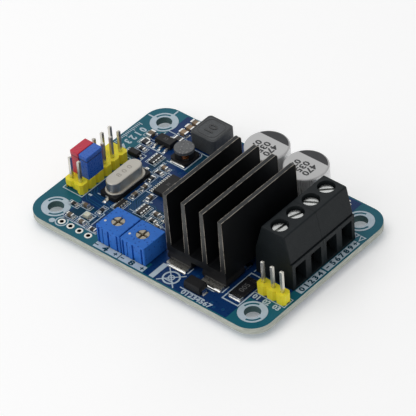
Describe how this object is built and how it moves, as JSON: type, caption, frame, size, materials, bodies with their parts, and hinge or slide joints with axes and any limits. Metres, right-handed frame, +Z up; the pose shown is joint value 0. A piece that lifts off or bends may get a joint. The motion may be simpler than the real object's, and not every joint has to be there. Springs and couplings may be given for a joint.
{
  "type": "servo driver board",
  "caption": "Blue motor-drive circuit board with a black finned heat sink, rising-cage screw terminals, blue trimmers, yellow pin headers with jumper caps and upright capacitors.",
  "frame": {"origin": "centre of the four mounting holes, on the underside of the board", "axes": "+X along the board towards the wire entries of the screw terminals, +Y across the board towards the capacitors, +Z up through the parts"},
  "size_m": [0.065, 0.045, 0.021],
  "materials": {
    "solder_mask": "glossy blue solder mask over glass-fibre laminate",
    "tin_plate": "bright tin plating",
    "solder": "shiny solder",
    "yellow_plastic": "moulded yellow plastic",
    "blue_jumper_plastic": "moulded blue plastic",
    "red_jumper_plastic": "moulded red plastic",
    "spring_bronze": "spring sheet",
    "black_housing_plastic": "moulded black plastic, slightly shiny",
    "zinc_plate": "zinc plated steel",
    "trimmer_plastic": "moulded blue plastic",
    "rotor_plastic": "tan plastic",
    "ceramic_disc": "white ceramic with a dark resistive track",
    "black_anodised": "black anodised extrusion",
    "adhesive": "thermal adhesive",
    "black_epoxy": "moulded epoxy",
    "capacitor_can": "bright drawn can with a satin top",
    "base_plastic": "moulded black plastic",
    "rubber_seal": "rubber bung",
    "wound_foil": "wound foil and paper",
    "nickel_can": "satin nickel plated steel",
    "ferrite": "ground ferrite",
    "copper_wire": "enamelled copper wire",
    "ceramic_tan": "fired ceramic",
    "resistor_black": "black glaze on ceramic",
    "light_lens": "cloudy pale lens"
  },
  "bodies": {
    "board": {"pcb": "solder_mask", "plated_pads": "tin_plate", "solder_joints": "solder", "power_header_housing": "yellow_plastic", "power_header_pins": "tin_plate", "signal_header_housings": "yellow_plastic", "signal_header_pins": "tin_plate", "motor_terminal_housing": "black_housing_plastic", "power_terminal_housing": "black_housing_plastic", "terminal_contacts": "tin_plate", "trimmer_a_housing": "trimmer_plastic", "trimmer_b_housing": "trimmer_plastic", "trimmer_elements": "ceramic_disc", "trimmer_pins": "tin_plate", "heat_sink": "black_anodised", "thermal_adhesive": "adhesive", "mosfet_bodies": "black_epoxy", "mosfet_tabs": "tin_plate", "mosfet_leads": "tin_plate", "capacitor_cans": "capacitor_can", "capacitor_bases": "base_plastic", "capacitor_seals": "rubber_seal", "capacitor_rolls": "wound_foil", "capacitor_leads": "tin_plate", "crystal_can": "nickel_can", "crystal_base": "base_plastic", "crystal_leads": "tin_plate", "controller_body": "black_epoxy", "controller_leads": "tin_plate", "gate_driver_bodies": "black_epoxy", "gate_driver_leads": "tin_plate", "regulator_body": "black_epoxy", "regulator_leads": "tin_plate", "power_inductor_shield": "ferrite", "power_inductor_core": "ferrite", "power_inductor_coil": "copper_wire", "drum_inductor_base": "base_plastic", "drum_inductor_core": "ferrite", "drum_inductor_coil": "copper_wire", "inductor_terminals": "tin_plate", "sense_resistor": "resistor_black", "diode_bodies": "black_epoxy", "status_light": "light_lens", "chip_capacitor_bodies": "ceramic_tan", "chip_resistor_bodies": "resistor_black", "chip_plated_ends": "tin_plate"},
    "screw_1": {"clamp_screw_1": "zinc_plate"},
    "cage_1": {"clamp_cage_1": "zinc_plate"},
    "screw_2": {"clamp_screw_2": "zinc_plate"},
    "cage_2": {"clamp_cage_2": "zinc_plate"},
    "screw_3": {"clamp_screw_3": "zinc_plate"},
    "cage_3": {"clamp_cage_3": "zinc_plate"},
    "screw_4": {"clamp_screw_4": "zinc_plate"},
    "cage_4": {"clamp_cage_4": "zinc_plate"},
    "rotor_a": {"trimmer_a_rotor": "rotor_plastic"},
    "rotor_b": {"trimmer_b_rotor": "rotor_plastic"},
    "jumper_blue": {"jumper_blue_cap": "blue_jumper_plastic", "jumper_blue_clip": "spring_bronze"},
    "jumper_red": {"jumper_red_cap": "red_jumper_plastic", "jumper_red_clip": "spring_bronze"}
  },
  "joints": [
    {"name": "screw_1_turn", "type": "hinge", "parent": "board", "child": "screw_1", "pos_m": [0.0252, -0.005, 0.01], "axis": [0, 0, -1], "range_deg": [0, 2304]},
    {"name": "cage_1_lift", "type": "slide", "parent": "board", "child": "cage_1", "axis": [0, 0, 1], "range_m": [0, 0.0032]},
    {"name": "screw_2_turn", "type": "hinge", "parent": "board", "child": "screw_2", "pos_m": [0.0252, 0, 0.01], "axis": [0, 0, -1], "range_deg": [0, 2304]},
    {"name": "cage_2_lift", "type": "slide", "parent": "board", "child": "cage_2", "axis": [0, 0, 1], "range_m": [0, 0.0032]},
    {"name": "screw_3_turn", "type": "hinge", "parent": "board", "child": "screw_3", "pos_m": [0.0252, 0.005, 0.01], "axis": [0, 0, -1], "range_deg": [0, 2304]},
    {"name": "cage_3_lift", "type": "slide", "parent": "board", "child": "cage_3", "axis": [0, 0, 1], "range_m": [0, 0.0032]},
    {"name": "screw_4_turn", "type": "hinge", "parent": "board", "child": "screw_4", "pos_m": [0.0252, 0.01, 0.01], "axis": [0, 0, -1], "range_deg": [0, 2304]},
    {"name": "cage_4_lift", "type": "slide", "parent": "board", "child": "cage_4", "axis": [0, 0, 1], "range_m": [0, 0.0032]},
    {"name": "trimmer_a_turn", "type": "hinge", "parent": "board", "child": "rotor_a", "pos_m": [-0.00945, -0.017, 0.005], "axis": [0, 0, 1], "range_deg": [-135, 135]},
    {"name": "trimmer_b_turn", "type": "hinge", "parent": "board", "child": "rotor_b", "pos_m": [-0.00255, -0.017, 0.005], "axis": [0, 0, 1], "range_deg": [-135, 135]},
    {"name": "jumper_blue_lift", "type": "slide", "parent": "board", "child": "jumper_blue", "axis": [0, 0, 1], "range_m": [0, 0.007]},
    {"name": "jumper_red_lift", "type": "slide", "parent": "board", "child": "jumper_red", "axis": [0, 0, 1], "range_m": [0, 0.007]}
  ],
  "couplings": [
    {"joint": "screw_1_turn", "follows": "cage_1_lift", "rad_per_m": 12566},
    {"joint": "screw_2_turn", "follows": "cage_2_lift", "rad_per_m": 12566},
    {"joint": "screw_3_turn", "follows": "cage_3_lift", "rad_per_m": 12566},
    {"joint": "screw_4_turn", "follows": "cage_4_lift", "rad_per_m": 12566}
  ]
}
